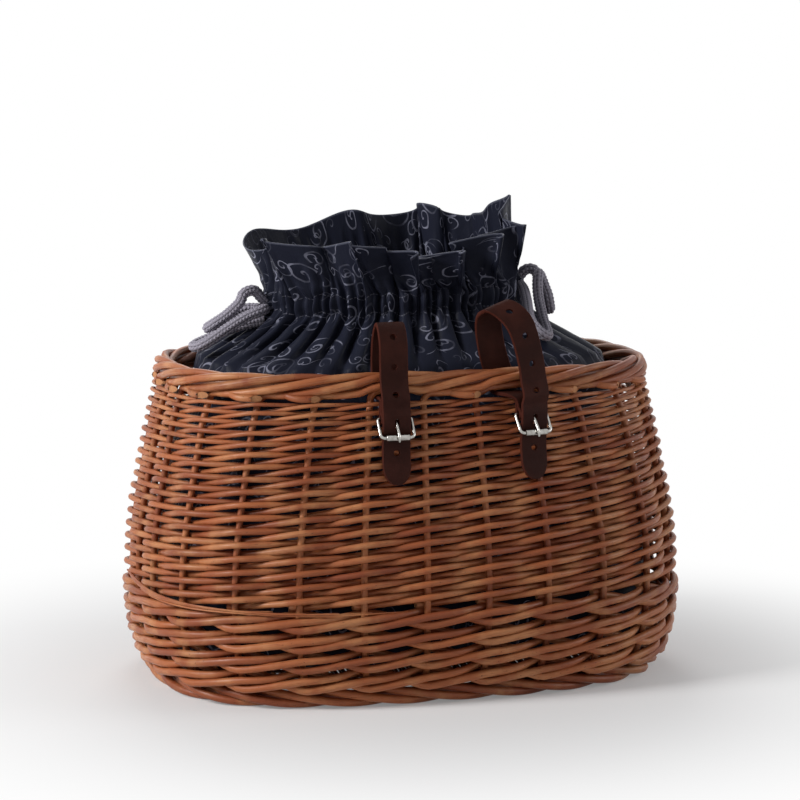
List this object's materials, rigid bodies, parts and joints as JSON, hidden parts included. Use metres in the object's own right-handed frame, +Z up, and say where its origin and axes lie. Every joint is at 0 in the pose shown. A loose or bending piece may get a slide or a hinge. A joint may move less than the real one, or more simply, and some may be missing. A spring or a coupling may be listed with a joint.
{
  "type": "wicker bicycle basket",
  "caption": "Oval woven willow basket with a drawstring fabric liner and two buckled leather straps that loop over a handlebar.",
  "frame": {"origin": "middle of the foot, on the surface that the basket stands on", "axes": "+Z up, X along the basket's length, the side with the straps faces -Y"},
  "size_m": [0.3992, 0.2893, 0.336],
  "materials": {
    "willow": "stained and varnished willow, satin",
    "cloth": "dark printed cotton with a pale motif",
    "cord": "knitted grey cord",
    "leather": "dark brown, satin",
    "nickel": "nickel plated, polished"
  },
  "bodies": {
    "basket": {"stakes_and_rim": "willow", "rand_rod_01": "willow", "rand_rod_02": "willow", "rand_rod_03": "willow", "rand_rod_04": "willow", "rand_rod_05": "willow", "rand_rod_06": "willow", "rand_rod_07": "willow", "rand_rod_08": "willow", "rand_rod_09": "willow", "rand_rod_10": "willow", "rand_rod_11": "willow", "rand_rod_12": "willow", "rand_rod_13": "willow", "rand_rod_14": "willow", "rand_rod_15": "willow", "rand_rod_16": "willow", "rand_rod_17": "willow", "rand_rod_18": "willow", "rand_rod_19": "willow", "rand_rod_20": "willow", "rand_rod_21": "willow", "rand_rod_22": "willow", "rand_rod_23": "willow", "rand_rod_24": "willow", "rand_rod_25": "willow", "wale_rod_1": "willow", "wale_rod_2": "willow", "wale_rod_3": "willow", "foot_border": "willow", "base_stick_1": "willow", "base_stick_2": "willow", "base_stick_3": "willow", "base_stick_4": "willow", "base_weave": "willow", "liner": "cloth", "drawcord_neck": "cord", "cord_bow_left": "cord", "cord_bow_right": "cord", "strap_left": "leather", "rivet_left": "nickel", "buckle_frame_left": "nickel", "strap_right": "leather", "rivet_right": "nickel", "buckle_frame_right": "nickel"},
    "prong_left": {"buckle_prong_left": "nickel"},
    "roller_left": {"buckle_roller_left": "nickel"},
    "prong_right": {"buckle_prong_right": "nickel"},
    "roller_right": {"buckle_roller_right": "nickel"}
  },
  "joints": [
    {"name": "prong_left_turn", "type": "hinge", "parent": "basket", "child": "prong_left", "pos_m": [-0.043, -0.12752, 0.201], "axis": [-1, 0, 0], "range_deg": [0, 10]},
    {"name": "roller_left_turn", "type": "hinge", "parent": "basket", "child": "roller_left", "pos_m": [-0.043, -0.13612, 0.18871], "axis": [1, 0, 0], "continuous": true},
    {"name": "prong_right_turn", "type": "hinge", "parent": "basket", "child": "prong_right", "pos_m": [0.055, -0.12944, 0.201], "axis": [-0.9877, -0.1564, 0], "range_deg": [0, 10]},
    {"name": "roller_right_turn", "type": "hinge", "parent": "basket", "child": "roller_right", "pos_m": [0.05635, -0.13794, 0.18871], "axis": [0.9877, 0.1564, 0], "continuous": true}
  ]
}
